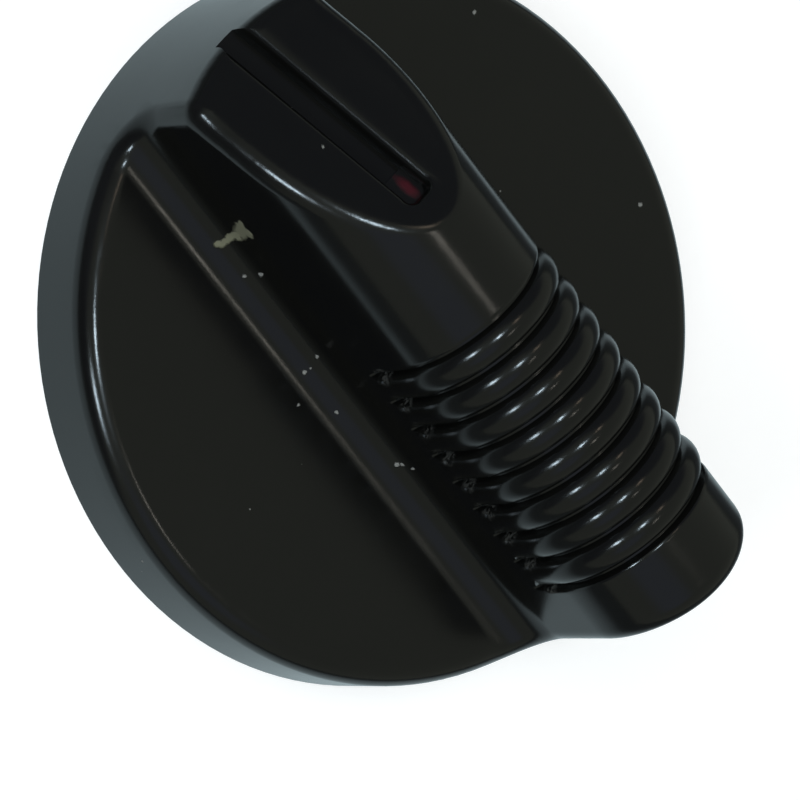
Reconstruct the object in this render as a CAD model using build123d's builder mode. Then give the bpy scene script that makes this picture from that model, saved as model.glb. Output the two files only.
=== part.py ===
from build123d import *
import math
import os

# Slow cooker control knob: a skirted disc crossed by a full-round grip bar.
# Millimetres and degrees. The origin is the centre of the bottom rim, +Z points out of the front face
# and the pointer points along +Y.

# Disc
disc_diameter = 45.0
wall_draft = 0.3
face_height = 5.4
edge_radius = 1.4

# Grip bar
grip_width = 12.2
grip_height = 18.9
grip_foot_radius = 2.5

# Ribs on the tail half of the bar, proud of it by the rise
rib_count = 8
rib_pitch = 2.2
rib_start = 0.75
rib_rise = 0.25
rib_crown = 0.32
rib_depth = 0.75
rib_gap = 0.5
rib_root = 0.15
rib_foot_height = 11.0
rib_fade_radius = 1.2
rib_fade_angle = 60.0
rib_shoulder = 0.5

# Dished pointer facet, from the ridge down to the rim
facet_start = 7.7
facet_rim_height = 11.1
facet_dish_radius = 26.0
facet_edge_radius = 1.4

# Pointer groove along the facet, and what is left of its paint fill
pointer_inset = 2.0
pointer_width = 1.9
pointer_depth = 1.1
pointer_draft = 8.0
pointer_end_rounding = 0.5
pointer_lip_radius = 0.5
pointer_lip_angles = (30.0, 60.0)
paint_length = 2.0
paint_thickness = 0.2

# Hollow underside
skirt_wall = 2.0
face_thickness = 2.2
grip_wall = 2.2

# Hub with a socket for a D shaft
hub_diameter = 11.0
hub_recess = 1.0
shaft_diameter = 6.35
shaft_across_flat = 5.56
shaft_clearance = 0.06
socket_depth = 12.0

# Leaf spring that presses on the flat of the shaft
spring_thickness = 0.4
spring_width = 3.8
spring_length = 9.0
spring_press = 0.15
spring_slot_depth = 1.15
spring_clearance = 0.05

# Values worked out from the sizes above
disc_radius = disc_diameter / 2
draft_slope = math.tan(math.radians(wall_draft))
grip_half = grip_width / 2
ridge_axis_height = grip_height - grip_half
facet_run = disc_radius - facet_rim_height * draft_slope - facet_start
facet_drop = grip_height - facet_rim_height
facet_length = math.hypot(facet_run, facet_drop)
socket_radius = shaft_diameter / 2 + shaft_clearance
socket_flat = shaft_across_flat - shaft_diameter / 2 + shaft_clearance
spring_back = socket_flat + spring_slot_depth

# Section plane of the facet: local x is X, local y points down into the bar, local z runs to the rim
facet_plane = Plane((0, facet_start, grip_height), x_dir=(1, 0, 0), z_dir=(0, facet_run, -facet_drop))
# Plane of the facet's middle line: local y runs to the rim, local z points out of the facet
pointer_plane = Plane(facet_plane.origin, x_dir=(1, 0, 0), z_dir=-facet_plane.y_dir)


def bar_on_disc(radius, disc_top, bar_width, bar_top, foot_radius):
    """A disc with a full-round bar across it, both trimmed by one drafted wall."""
    bar_half = bar_width / 2
    with BuildPart() as form:
        with BuildSketch(Plane.XZ) as section:
            Rectangle(2 * radius, disc_top, align=(Align.CENTER, Align.MIN))
            Rectangle(bar_width, bar_top - bar_half, align=(Align.CENTER, Align.MIN))
            with Locations((0, bar_top - bar_half)):
                Circle(bar_half)
            feet = section.vertices().group_by(lambda v: abs(v.Y - disc_top))[0]
            fillet(feet.group_by(lambda v: abs(v.X))[0], foot_radius)
        extrude(amount=radius, both=True)
        Cone(
            radius,
            radius - bar_top * draft_slope,
            bar_top,
            align=(Align.CENTER, Align.CENTER, Align.MIN),
            mode=Mode.INTERSECT,
        )
    return form.part


def dish(depth):
    """The round that hollows the facet, set this far below its middle line."""
    with BuildPart() as cutter:
        with BuildSketch(facet_plane):
            with Locations((0, depth - facet_dish_radius)):
                Circle(facet_dish_radius)
        extrude(amount=2 * facet_length, both=True)
    return cutter.part


def pointer_layer(depth, inset, rise, taper, length):
    """A layer of the pointer groove from this depth below the facet, widening by the taper as it rises.

    The inset is how far its plan lies inside the plan of the groove's mouth.
    """
    half = pointer_width / 2 - inset
    with BuildPart() as layer:
        with BuildSketch(pointer_plane.offset(-depth)) as plan:
            with Locations((0, pointer_inset + inset)):
                Rectangle(2 * half, length, align=(Align.CENTER, Align.MIN))
            fillet(plan.vertices().group_by(Axis.Y)[0], pointer_end_rounding * half)
        extrude(amount=rise, taper=-taper)
    return layer.part


def over_the_bar(profile, fade):
    """Sweep a profile up one flank, over the ridge and down the other, curving off at both feet.

    A positive fade curves the feet away from the bar, a negative one curves them into it.
    """
    with BuildPart() as swept:
        with BuildLine(Plane.XZ) as path:
            foot = rib_foot_height
            CenterArc((0, ridge_axis_height), grip_half, 0, 180)
            for side in (1, -1):
                Line((side * grip_half, ridge_axis_height), (side * grip_half, foot))
                start, turn = (180, rib_fade_angle) if fade * side > 0 else (0, -rib_fade_angle)
                CenterArc((side * (grip_half + fade), foot), abs(fade), start, turn)
        with BuildSketch(Plane((grip_half, 0, ridge_axis_height))):
            add(profile)
        sweep(path=path.wires()[0])
    return swept.part


# Profiles across the ribs: local x is the height above the bar, local y runs along it
grooves = [rib_start - i * rib_pitch for i in range(rib_count + 1)]
brow = rib_rise - rib_crown
root = rib_rise - rib_depth
with BuildSketch() as sleeve_profile:
    with Locations((0, (grooves[0] + grooves[-1]) / 2)):
        Rectangle(2 * rib_rise, grooves[0] - grooves[-1])
with BuildSketch() as comb_profile:
    with BuildLine():
        first = (0, grooves[0] + rib_shoulder)
        last = (0, grooves[-1] - rib_shoulder)
        for y in grooves:
            Polyline(
                (brow, y + rib_gap / 2),
                (root, y + rib_root / 2),
                (root, y - rib_root / 2),
                (brow, y - rib_gap / 2),
            )
        for y in grooves[:-1]:
            ThreePointArc(
                (brow, y - rib_gap / 2),
                (rib_rise, y - rib_pitch / 2),
                (brow, y - rib_pitch + rib_gap / 2),
            )
        TangentArc(first, (brow, grooves[0] + rib_gap / 2), tangent=(0, -1))
        TangentArc(last, (brow, grooves[-1] - rib_gap / 2), tangent=(0, 1))
        Polyline(last, (rib_depth, last[1]), (rib_depth, first[1]), first)
    make_face()
rib_sleeve = over_the_bar(sleeve_profile.sketch, -rib_fade_radius)
rib_comb = over_the_bar(comb_profile.sketch, rib_fade_radius)

outside = bar_on_disc(disc_radius, face_height, grip_width, grip_height, grip_foot_radius)
inside = bar_on_disc(
    disc_radius - skirt_wall,
    face_height - face_thickness,
    grip_width - 2 * grip_wall,
    grip_height - grip_wall,
    grip_foot_radius + grip_wall,
)
facet_dish = dish(0)
facet_roof = dish(pointer_depth + grip_wall)
floor_inset = pointer_depth * math.tan(math.radians(pointer_draft))
pointer_groove = [pointer_layer(pointer_depth, floor_inset, 2 * pointer_depth, pointer_draft, facet_length)]
for angle in pointer_lip_angles:
    lip_inset = pointer_lip_radius * (1 / math.cos(math.radians(angle)) - 1)
    pointer_groove.append(
        pointer_layer(pointer_lip_radius, lip_inset, 1.5 * pointer_lip_radius, angle, facet_length)
    )

# Core of the mould: the hollow skirt and grip, with the hub left standing in the middle
with BuildPart() as core:
    add(inside)
    add(facet_roof, mode=Mode.SUBTRACT)
    with BuildSketch(Plane.XY.offset(hub_recess)):
        Circle(hub_diameter / 2)
    extrude(amount=grip_height, mode=Mode.SUBTRACT)

# Moulded body
with BuildPart() as knob_body:
    add(outside)
    wall = knob_body.faces().filter_by(GeomType.CONE)
    rim = wall.edges().filter_by(lambda e: e.bounding_box().min.Z > face_height / 2)
    fillet(rim, edge_radius)
    add(facet_dish, mode=Mode.SUBTRACT)
    facet_middle = facet_plane.origin + facet_plane.z_dir * facet_length / 2
    fillet(knob_body.faces().sort_by_distance(facet_middle)[0].edges(), facet_edge_radius)
    add(pointer_groove, mode=Mode.SUBTRACT)
    add(rib_sleeve)
    add(rib_comb, mode=Mode.SUBTRACT)
    add(core.part, mode=Mode.SUBTRACT)
    with BuildSketch(Plane.XY.offset(hub_recess)):
        Circle(socket_radius)
        with Locations((socket_flat, 0)):
            Rectangle(socket_radius, shaft_diameter, align=(Align.MIN, Align.CENTER), mode=Mode.SUBTRACT)
        Rectangle(spring_back, spring_width + 2 * spring_clearance, align=(Align.MIN, Align.CENTER))
    extrude(amount=socket_depth, mode=Mode.SUBTRACT)

# Bowed leaf of spring steel behind the flat of the socket
with BuildPart() as shaft_spring:
    spring_low = hub_recess + (socket_depth - spring_length) / 2
    spring_crown = socket_flat - spring_press + spring_thickness
    with BuildSketch(Plane.XZ):
        with BuildLine():
            ThreePointArc(
                (spring_back, spring_low),
                (spring_crown, spring_low + spring_length / 2),
                (spring_back, spring_low + spring_length),
            )
            offset(amount=spring_thickness, side=Side.LEFT)
        make_face()
    extrude(amount=spring_width / 2, both=True)

# What is left of the paint fill, at the inner end of the pointer groove
with BuildPart() as indicator_paint:
    add(pointer_layer(pointer_depth, floor_inset, paint_thickness, pointer_draft, paint_length))

os.makedirs("parts", exist_ok=True)
for name, piece in (
    ("knob_body", knob_body),
    ("shaft_spring", shaft_spring),
    ("indicator_paint", indicator_paint),
):
    piece.part.label = name
    export_step(piece.part, f"parts/{name}.step")
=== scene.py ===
import math

import bmesh
import bpy
from bpy.props import FloatProperty, FloatVectorProperty, PointerProperty
from mathutils import Matrix, Vector


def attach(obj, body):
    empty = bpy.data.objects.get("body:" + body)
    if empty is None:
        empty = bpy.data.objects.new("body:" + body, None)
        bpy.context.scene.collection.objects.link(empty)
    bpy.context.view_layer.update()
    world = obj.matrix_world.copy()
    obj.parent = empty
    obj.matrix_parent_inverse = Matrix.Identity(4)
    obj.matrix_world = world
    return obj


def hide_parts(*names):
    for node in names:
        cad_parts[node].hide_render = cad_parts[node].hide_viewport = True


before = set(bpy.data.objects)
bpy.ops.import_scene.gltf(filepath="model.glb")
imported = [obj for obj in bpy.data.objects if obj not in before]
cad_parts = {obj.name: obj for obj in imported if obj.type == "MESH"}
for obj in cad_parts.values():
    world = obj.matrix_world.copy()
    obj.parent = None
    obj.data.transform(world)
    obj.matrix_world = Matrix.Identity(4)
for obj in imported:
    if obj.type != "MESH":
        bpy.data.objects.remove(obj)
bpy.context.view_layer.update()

bl_info = {
    "name": "Slow cooker control knob",
    "version": (1, 0, 0),
    "blender": (4, 5, 0),
    "location": "View3D > Sidebar > Knob",
    "description": "Dresses the packed control knob and lights it on a pale studio floor",
    "category": "Object",
}

MM = 0.001


def linear(hex_colour):
    """An sRGB hex colour as linear red, green and blue."""
    parts = (int(hex_colour[i:i + 2], 16) / 255 for i in (1, 3, 5))
    return tuple(c / 12.92 if c <= 0.04045 else ((c + 0.055) / 1.055) ** 2.4 for c in parts)


def node(tree, kind, inputs=None, **settings):
    """Add a node with its settings, its input values and its links."""
    made = tree.nodes.new(kind)
    for name, value in settings.items():
        setattr(made, name, value)
    for name, value in (inputs or {}).items():
        if isinstance(value, bpy.types.NodeSocket):
            tree.links.new(value, made.inputs[name])
        else:
            made.inputs[name].default_value = value
    return made


def direction(azimuth, elevation):
    """Unit vector from the knob to a point seen at this azimuth and elevation."""
    return Vector((
        math.sin(azimuth) * math.cos(elevation),
        -math.cos(azimuth) * math.cos(elevation),
        math.sin(elevation),
    ))


def new_material(name):
    """An empty node material with its output, its Principled shader and positions in millimetres."""
    material = bpy.data.materials.new(name)
    material.use_nodes = True
    tree = material.node_tree
    tree.nodes.clear()
    shader = node(tree, "ShaderNodeBsdfPrincipled")
    node(tree, "ShaderNodeOutputMaterial", {"Surface": shader.outputs["BSDF"]})
    place = node(tree, "ShaderNodeTexCoord")
    mm = node(
        tree,
        "ShaderNodeVectorMath",
        {0: place.outputs["Object"], 1: (1 / MM, 1 / MM, 1 / MM)},
        operation="MULTIPLY",
    )
    return material, tree, shader, mm.outputs[0]


# Share of a lump's radius that is wholly covered
LUMP_CORE = 0.6


def spots(tree, place, marks):
    """A mask of lumps, each given as a middle in millimetres and a radius in millimetres."""
    mask = None
    for middle, radius in marks:
        away = node(tree, "ShaderNodeVectorMath", {0: place, 1: middle}, operation="DISTANCE")
        inside = node(
            tree,
            "ShaderNodeMapRange",
            {"Value": away.outputs["Value"], "From Min": radius, "From Max": radius * LUMP_CORE},
        ).outputs["Result"]
        if mask is not None:
            inside = node(tree, "ShaderNodeMath", {0: mask, 1: inside}, operation="MAXIMUM").outputs[0]
        mask = inside
    return mask


# Flake of dried food on the foot of the grip, under the pointer facet: middles and radii of its lumps
FLAKE = (
    ((-6.1, 13.15, 8.7), 0.3),
    ((-6.1, 12.85, 8.35), 0.52),
    ((-6.1, 12.5, 7.95), 0.64),
    ((-6.1, 12.35, 8.65), 0.46),
    ((-6.15, 12.3, 7.4), 0.46),
    ((-6.22, 12.38, 7.15), 0.36),
    ((-6.3, 12.38, 6.94), 0.32),
    ((-6.39, 12.33, 6.76), 0.29),
    ((-6.49, 12.28, 6.58), 0.28),
    ((-6.63, 12.25, 6.39), 0.28),
    ((-6.78, 12.26, 6.2), 0.3),
    ((-6.92, 12.36, 6.06), 0.26),
)
# Single grains of pale dust
GRAINS = (
    ((-6.81, 9.69, 6.15), 0.16),
    ((-6.28, 9.33, 6.96), 0.19),
    ((-7.39, 2.4, 5.71), 0.18),
    ((-7.03, 2.38, 5.96), 0.13),
    ((-6.5, 2.86, 6.55), 0.17),
    ((-8.9, 1.15, 5.4), 0.14),
    ((-7.36, -0.93, 5.73), 0.15),
    ((-6.63, -5.93, 6.36), 0.2),
    ((-6.48, -6.12, 6.6), 0.16),
    ((-6.26, -6.62, 7.01), 0.14),
    ((-0.28, 9.48, 16.71), 0.14),
    ((18.66, -6.92, 5.4), 0.2),
    ((17.37, 10.12, 5.4), 0.17),
    ((-1.87, 15.1, 15.06), 0.12),
    ((-15.76, -1.11, 5.4), 0.11),
)
# Grooves between the ribs, in millimetres: the first, the pitch, the last and the height of their feet
RIB_GROOVES = (0.75, 2.2, -16.85, 11.2)
# Settled dust, in millimetres: its thickest part round a foot, its reach and its specks
FOOT_CORE = 0.15
FOOT_REACH = 0.8
FOOT_SPECK = 0.28


def groove_feet(tree, mm):
    """A mask of the dust that settles in the feet of the grooves between the ribs."""
    first, pitch, last, height = RIB_GROOVES
    place = node(tree, "ShaderNodeSeparateXYZ", {"Vector": mm})
    from_first = node(tree, "ShaderNodeMath", {0: place.outputs["Y"], 1: first}, operation="SUBTRACT")
    from_groove = node(
        tree,
        "ShaderNodeMath",
        {0: from_first.outputs[0], 1: pitch / 2},
        operation="PINGPONG",
    )
    above = node(tree, "ShaderNodeMath", {0: place.outputs["Z"], 1: height}, operation="SUBTRACT")
    away = node(
        tree,
        "ShaderNodeCombineXYZ",
        {"X": from_groove.outputs[0], "Y": above.outputs[0]},
    )
    near = node(tree, "ShaderNodeVectorMath", {0: away.outputs[0]}, operation="LENGTH")
    deep = node(
        tree,
        "ShaderNodeMapRange",
        {"Value": near.outputs["Value"], "From Min": FOOT_REACH, "From Max": FOOT_CORE},
    )
    flank = node(
        tree,
        "ShaderNodeMath",
        {0: place.outputs["Y"], 1: (first + last) / 2, 2: (first - last) / 2 + pitch / 4},
        operation="COMPARE",
    )
    specks = node(tree, "ShaderNodeTexNoise", {"Vector": mm, "Scale": 1 / FOOT_SPECK, "Detail": 2.0})
    thick = node(
        tree,
        "ShaderNodeMapRange",
        {"Value": specks.outputs["Fac"], "From Min": 0.42, "From Max": 0.62, "To Max": 0.35},
    )
    here = node(tree, "ShaderNodeMath", {0: deep.outputs[0], 1: flank.outputs[0]}, operation="MULTIPLY")
    dust = node(tree, "ShaderNodeMath", {0: here.outputs[0], 1: thick.outputs[0]}, operation="MULTIPLY")
    return dust.outputs[0]


# Heights in the surface of the moulding and widths of its marks, in millimetres
RIPPLE_HEIGHT = 0.02
GRAIN_HEIGHT = 0.006
DIRT_HEIGHT = 0.12
LUMP_WIDTH = 0.3
LUMP_SHIFT = 0.35
FILM_WIDTH = 7.0
# Share of the dust cells that stay empty, and the largest grain as a share of a cell
EMPTY_CELLS = 0.9
LARGEST_GRAIN = 0.16
PHENOLIC_IOR = 1.5
DIRT_ROUGHNESS = 0.9


def moulded_phenolic(finish):
    """Black phenolic, hot pressed in a polished mould.

    The press gives a hard gloss with a faint flow ripple in the reflections. Years of wiping leave it clean
    on the open faces, with grains of dust and a flake of dried food where a cloth doesn't reach.
    """
    material, tree, shader, mm = new_material("Black phenolic moulding")

    # Wide ripple from the flow in the mould, and a fine grain from the filler
    ripple = node(tree, "ShaderNodeTexNoise", {"Vector": mm, "Scale": 1 / finish.ripple_mm, "Detail": 2.0})
    grain = node(tree, "ShaderNodeTexNoise", {"Vector": mm, "Scale": 1 / finish.grain_mm, "Detail": 3.0})
    ripple_bump = node(
        tree,
        "ShaderNodeBump",
        {"Height": ripple.outputs["Fac"], "Distance": RIPPLE_HEIGHT * MM, "Strength": 0.35},
    )
    grain_bump = node(
        tree,
        "ShaderNodeBump",
        {
            "Height": grain.outputs["Fac"],
            "Distance": GRAIN_HEIGHT * MM,
            "Strength": 0.6,
            "Normal": ripple_bump.outputs["Normal"],
        },
    )

    # Lumpy outlines for the dried food and the dust
    warp = node(tree, "ShaderNodeTexNoise", {"Vector": mm, "Scale": 1 / LUMP_WIDTH, "Detail": 3.0})
    centred = node(
        tree,
        "ShaderNodeVectorMath",
        {0: warp.outputs["Color"], 1: (0.5, 0.5, 0.5)},
        operation="SUBTRACT",
    )
    lumpy = node(
        tree,
        "ShaderNodeVectorMath",
        {0: centred.outputs[0], 1: (LUMP_SHIFT, LUMP_SHIFT, LUMP_SHIFT), 2: mm},
        operation="MULTIPLY_ADD",
    ).outputs[0]
    flake = spots(tree, lumpy, FLAKE)
    grains = spots(tree, lumpy, GRAINS)

    # Loose dust: a grain in a few cells of a random packing
    cells = node(tree, "ShaderNodeTexVoronoi", {"Vector": mm, "Scale": 1 / finish.dust_spacing_mm})
    size = node(
        tree,
        "ShaderNodeMapRange",
        {"Value": cells.outputs["Color"], "From Min": EMPTY_CELLS, "To Max": LARGEST_GRAIN},
    )
    dust = node(
        tree,
        "ShaderNodeMath",
        {0: cells.outputs["Distance"], 1: size.outputs["Result"]},
        operation="LESS_THAN",
    )
    settled = groove_feet(tree, mm)
    pale = node(tree, "ShaderNodeMath", {0: grains, 1: dust.outputs[0]}, operation="MAXIMUM").outputs[0]
    powdered = node(tree, "ShaderNodeMath", {0: pale, 1: settled}, operation="MAXIMUM").outputs[0]

    # Thin cloudy film left by wiping
    film = node(
        tree,
        "ShaderNodeTexNoise",
        {"Vector": mm, "Scale": 1 / FILM_WIDTH, "Detail": 4.0, "Roughness": 0.6},
    )
    body_colour = node(
        tree,
        "ShaderNodeMix",
        {
            "Factor": film.outputs["Fac"],
            "A": (*finish.phenolic_deep, 1.0),
            "B": (*finish.phenolic_film, 1.0),
        },
        data_type="RGBA",
    )
    with_dust = node(
        tree,
        "ShaderNodeMix",
        {"Factor": powdered, "A": body_colour.outputs["Result"], "B": (*finish.dust, 1.0)},
        data_type="RGBA",
    )
    with_flake = node(
        tree,
        "ShaderNodeMix",
        {"Factor": flake, "A": with_dust.outputs["Result"], "B": (*finish.dried_food, 1.0)},
        data_type="RGBA",
    )
    tree.links.new(with_flake.outputs["Result"], shader.inputs["Base Color"])

    # Gloss, duller where the film lies and dead flat on the dirt
    gloss = node(
        tree,
        "ShaderNodeMapRange",
        {
            "Value": film.outputs["Fac"],
            "From Min": 0.3,
            "From Max": 0.7,
            "To Min": finish.gloss_roughness,
            "To Max": finish.film_roughness,
        },
    )
    dirt = node(tree, "ShaderNodeMath", {0: pale, 1: flake}, operation="MAXIMUM")
    rough = node(
        tree,
        "ShaderNodeMapRange",
        {"Value": dirt.outputs[0], "To Min": gloss.outputs["Result"], "To Max": DIRT_ROUGHNESS},
    )
    tree.links.new(rough.outputs["Result"], shader.inputs["Roughness"])
    dirt_bump = node(
        tree,
        "ShaderNodeBump",
        {
            "Height": dirt.outputs[0],
            "Distance": DIRT_HEIGHT * MM,
            "Strength": 0.8,
            "Normal": grain_bump.outputs["Normal"],
        },
    )
    tree.links.new(dirt_bump.outputs["Normal"], shader.inputs["Normal"])
    shader.inputs["IOR"].default_value = PHENOLIC_IOR
    return material


def fill_paint(finish):
    """Red enamel in the pointer groove: dark red in one ragged patch, with the black of the moulding round
    it.
    """
    material, tree, shader, mm = new_material("Patchy red fill enamel")
    patches = node(tree, "ShaderNodeTexNoise", {"Vector": mm, "Scale": 1 / 0.5, "Detail": 3.0})
    from_middle = node(
        tree,
        "ShaderNodeMapping",
        {"Vector": mm, "Location": (0.15, 10.0, 0.0), "Scale": (0.36, 0.85, 1.0)},
        vector_type="TEXTURE",
    )
    flat = node(
        tree,
        "ShaderNodeVectorMath",
        {0: from_middle.outputs[0], 1: (1.0, 1.0, 0.0)},
        operation="MULTIPLY",
    )
    away = node(tree, "ShaderNodeVectorMath", {0: flat.outputs[0]}, operation="LENGTH")
    ragged = node(
        tree,
        "ShaderNodeMath",
        {0: patches.outputs["Fac"], 1: 0.8, 2: away.outputs["Value"]},
        operation="MULTIPLY_ADD",
    )
    # Red share: red in one ragged patch round a point in the groove, black outside it
    red_patch = node(
        tree,
        "ShaderNodeMapRange",
        {"Value": ragged.outputs[0], "From Min": 1.6, "From Max": 0.85},
    )
    colour = node(
        tree,
        "ShaderNodeMix",
        {"Factor": red_patch.outputs["Result"], "A": (*finish.phenolic_deep, 1.0), "B": (*finish.fill_red, 1.0)},
        data_type="RGBA",
    )
    bump = node(tree, "ShaderNodeBump", {"Height": red_patch.outputs["Result"], "Distance": 0.02 * MM})
    tree.links.new(colour.outputs["Result"], shader.inputs["Base Color"])
    tree.links.new(bump.outputs["Normal"], shader.inputs["Normal"])
    shader.inputs["Roughness"].default_value = 0.3
    return material


# Height of the lines that the rolls leave, in millimetres
ROLL_LINE_HEIGHT = 0.01


def rolled_spring_steel(finish):
    """Spring steel strip, cold rolled and blued a little by its temper.

    The rolls leave fine lines along the strip and a satin shine across it.
    """
    material, tree, shader, mm = new_material("Rolled spring steel")
    stretched = node(tree, "ShaderNodeMapping", {"Vector": mm, "Scale": (14.0, 14.0, 0.6)})
    lines = node(tree, "ShaderNodeTexNoise", {"Vector": stretched.outputs[0], "Scale": 1.0, "Detail": 3.0})
    colour = node(
        tree,
        "ShaderNodeMix",
        {"Factor": lines.outputs["Fac"], "A": (*finish.steel_dark, 1.0), "B": (*finish.steel, 1.0)},
        data_type="RGBA",
    )
    rough = node(
        tree,
        "ShaderNodeMapRange",
        {"Value": lines.outputs["Fac"], "To Min": 0.22, "To Max": 0.42},
    )
    bump = node(
        tree,
        "ShaderNodeBump",
        {"Height": lines.outputs["Fac"], "Distance": ROLL_LINE_HEIGHT * MM, "Strength": 0.4},
    )
    tree.links.new(colour.outputs["Result"], shader.inputs["Base Color"])
    tree.links.new(rough.outputs["Result"], shader.inputs["Roughness"])
    tree.links.new(bump.outputs["Normal"], shader.inputs["Normal"])
    shader.inputs["Metallic"].default_value = 1.0
    return material


# Where the painted pool of light in reflections ends, in pool radii
POOL_END = 2.1
# How far the card lies below the knob, in millimetres
CARD_DROP = 0.01


def studio_floor(stage):
    """Pale matt card, white to the eye all over. Reflections alone see a painted pool of light on it near
    the knob, and a darker painted tone elsewhere.
    """
    material, tree, shader, mm = new_material("Pale matt card")
    fibres = node(tree, "ShaderNodeTexNoise", {"Vector": mm, "Scale": 1 / 0.6, "Detail": 4.0})
    colour = node(
        tree,
        "ShaderNodeMix",
        {"Factor": fibres.outputs["Fac"], "A": (*stage.card_low, 1.0), "B": (*stage.card_high, 1.0)},
        data_type="RGBA",
    )
    ray = node(tree, "ShaderNodeLightPath")
    # Painted reflection: reflections see the card in a darker painted tone
    mirrored = node(
        tree,
        "ShaderNodeMix",
        {
            "Factor": ray.outputs["Is Glossy Ray"],
            "A": colour.outputs["Result"],
            "B": (*stage.card_painted_reflection, 1.0),
        },
        data_type="RGBA",
    )
    tree.links.new(mirrored.outputs["Result"], shader.inputs["Base Color"])
    shader.inputs["Roughness"].default_value = 1.0
    shader.inputs["Specular IOR Level"].default_value = 0.0

    # Light that the eye sees all over as an even white, and a tinted painted pool of light that only
    # reflections see near the knob
    away = node(tree, "ShaderNodeVectorMath", {0: mm}, operation="LENGTH")
    reflected_pool_light = node(
        tree,
        "ShaderNodeMapRange",
        {
            "Value": away.outputs["Value"],
            "From Min": stage.pool_radius / MM * POOL_END,
            "From Max": stage.pool_radius / MM,
            "To Max": stage.painted_pool_glow,
        },
        interpolation_type="SMOOTHSTEP",
    )
    seen = node(
        tree,
        "ShaderNodeMath",
        {0: ray.outputs["Is Camera Ray"], 1: ray.outputs["Is Transmission Ray"]},
        operation="MAXIMUM",
    )
    straight = node(tree, "ShaderNodeMath", {0: seen.outputs[0], 1: stage.card_glow}, operation="MULTIPLY")
    glow = node(
        tree,
        "ShaderNodeMath",
        {0: ray.outputs["Is Glossy Ray"], 1: reflected_pool_light.outputs["Result"], 2: straight.outputs[0]},
        operation="MULTIPLY_ADD",
    )
    tint = node(
        tree,
        "ShaderNodeMix",
        {
            "Factor": ray.outputs["Is Glossy Ray"],
            "A": (1.0, 1.0, 1.0, 1.0),
            "B": (*stage.pool_tint, 1.0),
        },
        data_type="RGBA",
    )
    tree.links.new(tint.outputs["Result"], shader.inputs["Emission Color"])
    tree.links.new(glow.outputs[0], shader.inputs["Emission Strength"])

    # Clear from below, so that the hollow underside can be looked at
    sides = node(tree, "ShaderNodeNewGeometry")
    clear = node(tree, "ShaderNodeBsdfTransparent")
    one_sided = node(
        tree,
        "ShaderNodeMixShader",
        {0: sides.outputs["Backfacing"], 1: shader.outputs["BSDF"], 2: clear.outputs["BSDF"]},
    )
    tree.links.new(one_sided.outputs[0], tree.get_output_node("ALL").inputs["Surface"])
    return material


class KnobFinish(bpy.types.PropertyGroup):
    phenolic_deep: FloatVectorProperty(
        name="Phenolic",
        description="Black of the clean moulding",
        subtype="COLOR",
        size=3,
        default=linear("#090909"),
    )
    phenolic_film: FloatVectorProperty(
        name="Wiped film",
        description="Black under a thin film",
        subtype="COLOR",
        size=3,
        default=linear("#0E0E0C"),
    )
    dust: FloatVectorProperty(
        name="Dust",
        description="Grains of dust",
        subtype="COLOR",
        size=3,
        default=linear("#7C7C78"),
    )
    dried_food: FloatVectorProperty(
        name="Dried food",
        description="Flake on the grip",
        subtype="COLOR",
        size=3,
        default=linear("#6A6956"),
    )
    fill_red: FloatVectorProperty(
        name="Fill paint",
        description="Red left in the groove",
        subtype="COLOR",
        size=3,
        default=linear("#3C0C14"),
    )
    steel: FloatVectorProperty(
        name="Steel",
        description="Bright lines of the spring",
        subtype="COLOR",
        size=3,
        default=linear("#B9BABC"),
    )
    steel_dark: FloatVectorProperty(
        name="Steel, dark",
        description="Dark lines of the spring",
        subtype="COLOR",
        size=3,
        default=linear("#8A8C90"),
    )
    ripple_mm: FloatProperty(
        name="Ripple",
        description="Width of a flow ripple in millimetres",
        default=4.0,
        min=0.1,
    )
    grain_mm: FloatProperty(
        name="Grain",
        description="Width of the filler grain in millimetres",
        default=0.12,
        min=0.01,
    )
    dust_spacing_mm: FloatProperty(
        name="Dust spacing",
        description="Distance between dust cells in millimetres",
        default=0.8,
        min=0.1,
    )
    gloss_roughness: FloatProperty(
        name="Gloss",
        description="Roughness of the clean moulding",
        subtype="FACTOR",
        default=0.14,
        min=0.0,
        max=1.0,
    )
    film_roughness: FloatProperty(
        name="Film gloss",
        description="Roughness under the film",
        subtype="FACTOR",
        default=0.21,
        min=0.0,
        max=1.0,
    )
    smooth_angle: FloatProperty(
        name="Smooth angle",
        description="Edges sharper than this stay sharp",
        subtype="ANGLE",
        default=math.radians(32),
    )


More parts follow.
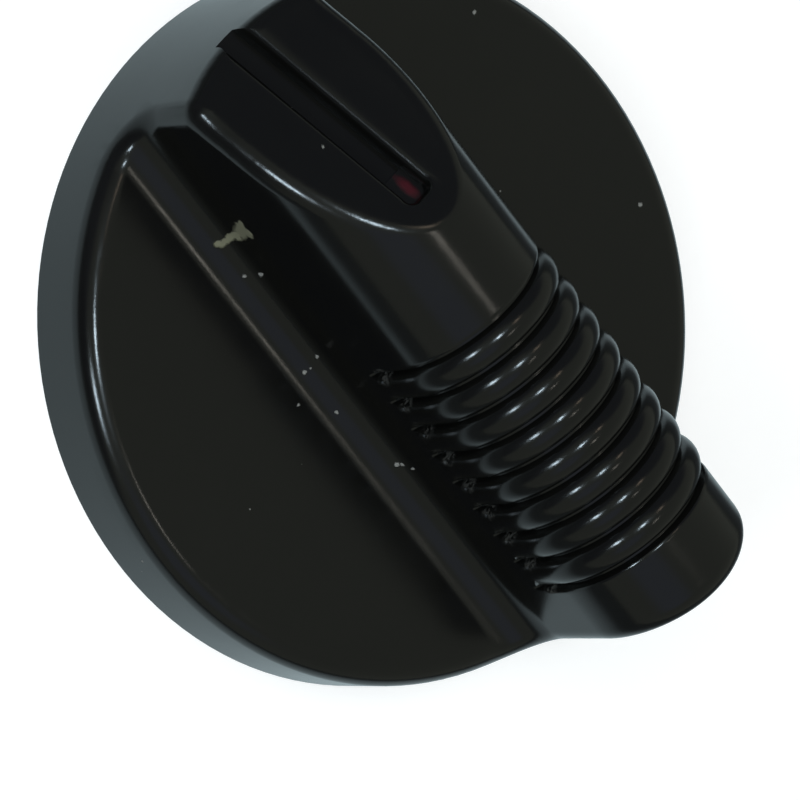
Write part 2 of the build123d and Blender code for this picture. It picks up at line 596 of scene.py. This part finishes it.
class StudioStage(bpy.types.PropertyGroup):
    card_low: FloatVectorProperty(
        name="Card, low",
        description="Darker fibres of the card",
        subtype="COLOR",
        size=3,
        default=linear("#C4C4C4"),
    )
    card_high: FloatVectorProperty(
        name="Card, high",
        description="Lighter fibres of the card",
        subtype="COLOR",
        size=3,
        default=linear("#CECECE"),
    )
    # Painted reflection: the darker tone of the card that only reflections see
    card_painted_reflection: FloatVectorProperty(
        name="Card, mirrored",
        description="Card in reflections",
        subtype="COLOR",
        size=3,
        default=linear("#5A5E60"),
    )
    card_glow: FloatProperty(
        name="White",
        description="Light added to what the eye sees of the card",
        default=0.58,
    )
    # Painted pool of light: light that only reflections see near the knob, with its size and tint below
    painted_pool_glow: FloatProperty(
        name="Mirrored white",
        description="Light added to what reflections see of the card",
        default=0.52,
    )
    pool_radius: FloatProperty(
        name="Pool of light",
        description="Radius of the bright card in reflections",
        unit="LENGTH",
        default=0.028,
    )
    pool_tint: FloatVectorProperty(
        name="Pool tint",
        description="Tint of the mirrored card",
        subtype="COLOR",
        size=3,
        default=(0.8, 1.0, 1.06),
    )
    card_radius: FloatProperty(
        name="Card radius",
        description="Size of the card",
        unit="LENGTH",
        default=1.6,
    )
    sky: FloatVectorProperty(
        name="Room",
        description="Light of the room above",
        subtype="COLOR",
        size=3,
        default=(0.25, 0.268, 0.232),
    )
    shade: FloatVectorProperty(
        name="Room, dark",
        description="Tint of the dark parts",
        subtype="COLOR",
        size=3,
        default=(0.9, 1.0, 1.2),
    )
    lamp_distance: FloatProperty(
        name="Lamp distance",
        description="From the knob",
        unit="LENGTH",
        default=0.6,
    )
    azimuth: FloatProperty(
        name="Azimuth",
        description="Camera round the knob",
        subtype="ANGLE",
        default=math.radians(229.928),
    )
    elevation: FloatProperty(
        name="Elevation",
        description="Camera above the floor",
        subtype="ANGLE",
        default=math.radians(56.558),
    )
    roll: FloatProperty(
        name="Roll",
        description="Turn of the picture",
        subtype="ANGLE",
        default=math.radians(87.253),
    )
    distance: FloatProperty(
        name="Distance",
        description="Camera from its aim",
        unit="LENGTH",
        default=0.4,
    )
    aim: FloatVectorProperty(
        name="Aim",
        description="Point in the middle of the picture",
        subtype="TRANSLATION",
        size=3,
        default=(-0.001312, -0.005266, 0.001576),
    )
    lens: FloatProperty(
        name="Lens",
        description="Focal length in millimetres",
        default=289.443,
    )


class KNOB_OT_moulding(bpy.types.Operator):
    """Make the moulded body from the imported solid, with clean normals over its rounded edges"""
    bl_idname = "knob.moulding"
    bl_label = "Moulded body"

    def execute(self, context):
        finish = context.scene.knob_finish
        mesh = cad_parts["knob_body"].data.copy()
        mesh.name = "knob_moulding"
        welded = bmesh.new()
        welded.from_mesh(mesh)
        bmesh.ops.remove_doubles(welded, verts=welded.verts, dist=0.001 * MM)
        for face in welded.faces:
            face.smooth = True
        for edge in welded.edges:
            edge.smooth = edge.is_manifold and edge.calc_face_angle(0.0) < finish.smooth_angle
        welded.to_mesh(mesh)
        welded.free()
        if "custom_normal" in mesh.attributes:
            mesh.attributes.remove(mesh.attributes["custom_normal"])
        mesh.materials.clear()
        mesh.materials.append(moulded_phenolic(finish))
        moulding = bpy.data.objects.new("knob_moulding", mesh)
        context.scene.collection.objects.link(moulding)
        weighted = moulding.modifiers.new("Clean rounds", "WEIGHTED_NORMAL")
        weighted.keep_sharp = True
        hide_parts("knob_body")
        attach(moulding, "root")
        return {"FINISHED"}


class KNOB_OT_pointer_paint(bpy.types.Operator):
    """Finish the paint in the pointer groove"""
    bl_idname = "knob.pointer_paint"
    bl_label = "Pointer paint"

    def execute(self, context):
        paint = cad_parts["indicator_paint"]
        paint.data.materials.clear()
        paint.data.materials.append(fill_paint(context.scene.knob_finish))
        return {"FINISHED"}


class KNOB_OT_shaft_spring(bpy.types.Operator):
    """Finish the leaf spring in the shaft socket"""
    bl_idname = "knob.shaft_spring"
    bl_label = "Shaft spring"

    def execute(self, context):
        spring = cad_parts["shaft_spring"]
        spring.data.materials.clear()
        spring.data.materials.append(rolled_spring_steel(context.scene.knob_finish))
        return {"FINISHED"}


# Lamps: name, azimuth and elevation in degrees, width and height as angles in degrees, radiance, colour,
# and whether the gloss mirrors it
LAMPS = (
    ("key_lamp", 231.0, 74.0, 7.0, 7.0, 40.0, "#DDF2FF", True),
    ("rim_lamp", 247.0, 41.0, 9.0, 9.0, 30.0, "#DDF2FF", True),
    ("fill_lamp", 228.0, 65.0, 50.0, 50.0, 2.4, "#FFFFFF", False),
    ("far_lamp", 5.0, 73.0, 6.0, 3.0, 8.0, "#FFF8EC", True),
    ("warm_lamp", 125.0, 74.0, 8.0, 8.0, 2.5, "#FFE6CC", True),
)
# Parts of the room that differ: azimuth, elevation, radius and width of the edge in degrees, and their light
SHADES = (
    (304.0, 48.0, 10.0, 14.0, 0.31),
    (138.0, 32.0, 28.0, 16.0, 0.1),
    (198.0, 0.0, 32.0, 24.0, 0.1),
    (238.0, 2.0, 22.0, 16.0, 0.07),
)


class KNOB_OT_stage(bpy.types.Operator):
    """Make the floor, the room light, the lamps and the camera"""
    bl_idname = "knob.stage"
    bl_label = "Studio stage"

    def execute(self, context):
        scene = context.scene
        stage = scene.studio_stage
        self.floor(scene, stage)
        self.room(scene, stage)
        for name, azimuth, elevation, width, height, radiance, colour, mirrored in LAMPS:
            towards = direction(math.radians(azimuth), math.radians(elevation))
            lamp = self.lamp(scene, stage, name, towards, width, height, radiance)
            lamp.data.color = linear(colour)
            lamp.visible_glossy = mirrored
        self.camera(scene, stage)
        scene.view_settings.view_transform = "Standard"
        return {"FINISHED"}

    def floor(self, scene, stage):
        mesh = bpy.data.meshes.new("studio_card")
        card = bmesh.new()
        bmesh.ops.create_circle(card, cap_ends=True, segments=96, radius=stage.card_radius)
        card.to_mesh(mesh)
        card.free()
        mesh.materials.append(studio_floor(stage))
        floor = bpy.data.objects.new("studio_card", mesh)
        floor.location.z = -CARD_DROP * MM
        scene.collection.objects.link(floor)

    def room(self, scene, stage):
        world = bpy.data.worlds.new("Dim room")
        scene.world = world
        world.use_nodes = True
        tree = world.node_tree
        tree.nodes.clear()
        look = node(tree, "ShaderNodeTexCoord").outputs["Generated"]
        colour = None
        for azimuth, elevation, radius, edge, light in SHADES:
            towards = direction(math.radians(azimuth), math.radians(elevation))
            facing = node(tree, "ShaderNodeVectorMath", {0: look, 1: towards}, operation="DOT_PRODUCT")
            dark = node(
                tree,
                "ShaderNodeMapRange",
                {
                    "Value": facing.outputs["Value"],
                    "From Min": math.cos(math.radians(radius + edge)),
                    "From Max": math.cos(math.radians(radius)),
                },
                interpolation_type="SMOOTHSTEP",
            )
            colour = node(
                tree,
                "ShaderNodeMix",
                {
                    "Factor": dark.outputs["Result"],
                    "A": colour.outputs["Result"] if colour else (*stage.sky, 1.0),
                    "B": (*(light * part for part in stage.shade), 1.0),
                },
                data_type="RGBA",
            )
        room = node(tree, "ShaderNodeBackground", {"Color": colour.outputs["Result"], "Strength": 1.0})
        node(tree, "ShaderNodeOutputWorld", {"Surface": room.outputs[0]})

    def lamp(self, scene, stage, name, towards, width, height, radiance):
        data = bpy.data.lights.new(name, "AREA")
        data.shape = "ELLIPSE"
        data.size = 2 * stage.lamp_distance * math.tan(math.radians(width) / 2)
        data.size_y = 2 * stage.lamp_distance * math.tan(math.radians(height) / 2)
        area = math.pi / 4 * data.size * data.size_y
        data.energy = radiance * math.pi * area
        lamp = bpy.data.objects.new(name, data)
        lamp.location = towards * stage.lamp_distance
        lamp.rotation_euler = towards.to_track_quat("Z", "Y").to_euler()
        scene.collection.objects.link(lamp)
        return lamp

    def camera(self, scene, stage):
        data = bpy.data.cameras.new("photo_camera")
        data.sensor_width = 36.0
        data.lens = stage.lens
        data.clip_start = 0.01
        data.clip_end = 10.0
        camera = bpy.data.objects.new("photo_camera", data)
        towards = direction(stage.azimuth, stage.elevation)
        level = towards.to_track_quat("Z", "Y").to_matrix().to_4x4()
        place = Matrix.Translation(Vector(stage.aim) + towards * stage.distance)
        camera.matrix_world = place @ level @ Matrix.Rotation(stage.roll, 4, "Z")
        scene.collection.objects.link(camera)
        scene.camera = camera


class KNOB_PT_panel(bpy.types.Panel):
    bl_label = "Control knob"
    bl_idname = "KNOB_PT_panel"
    bl_space_type = "VIEW_3D"
    bl_region_type = "UI"
    bl_category = "Knob"

    def draw(self, context):
        for step in STEPS:
            self.layout.operator(step.bl_idname)
        for settings in (context.scene.knob_finish, context.scene.studio_stage):
            column = self.layout.column()
            for name in settings.__annotations__:
                column.prop(settings, name)


STEPS = (KNOB_OT_moulding, KNOB_OT_pointer_paint, KNOB_OT_shaft_spring, KNOB_OT_stage)
CLASSES = (KnobFinish, StudioStage, *STEPS, KNOB_PT_panel)


def register():
    for cls in CLASSES:
        bpy.utils.register_class(cls)
    bpy.types.Scene.knob_finish = PointerProperty(type=KnobFinish)
    bpy.types.Scene.studio_stage = PointerProperty(type=StudioStage)


def unregister():
    del bpy.types.Scene.studio_stage
    del bpy.types.Scene.knob_finish
    for cls in reversed(CLASSES):
        bpy.utils.unregister_class(cls)


def main():
    register()
    bpy.ops.knob.moulding()
    bpy.ops.knob.pointer_paint()
    bpy.ops.knob.shaft_spring()
    bpy.ops.knob.stage()


if __name__ == "__main__":
    main()
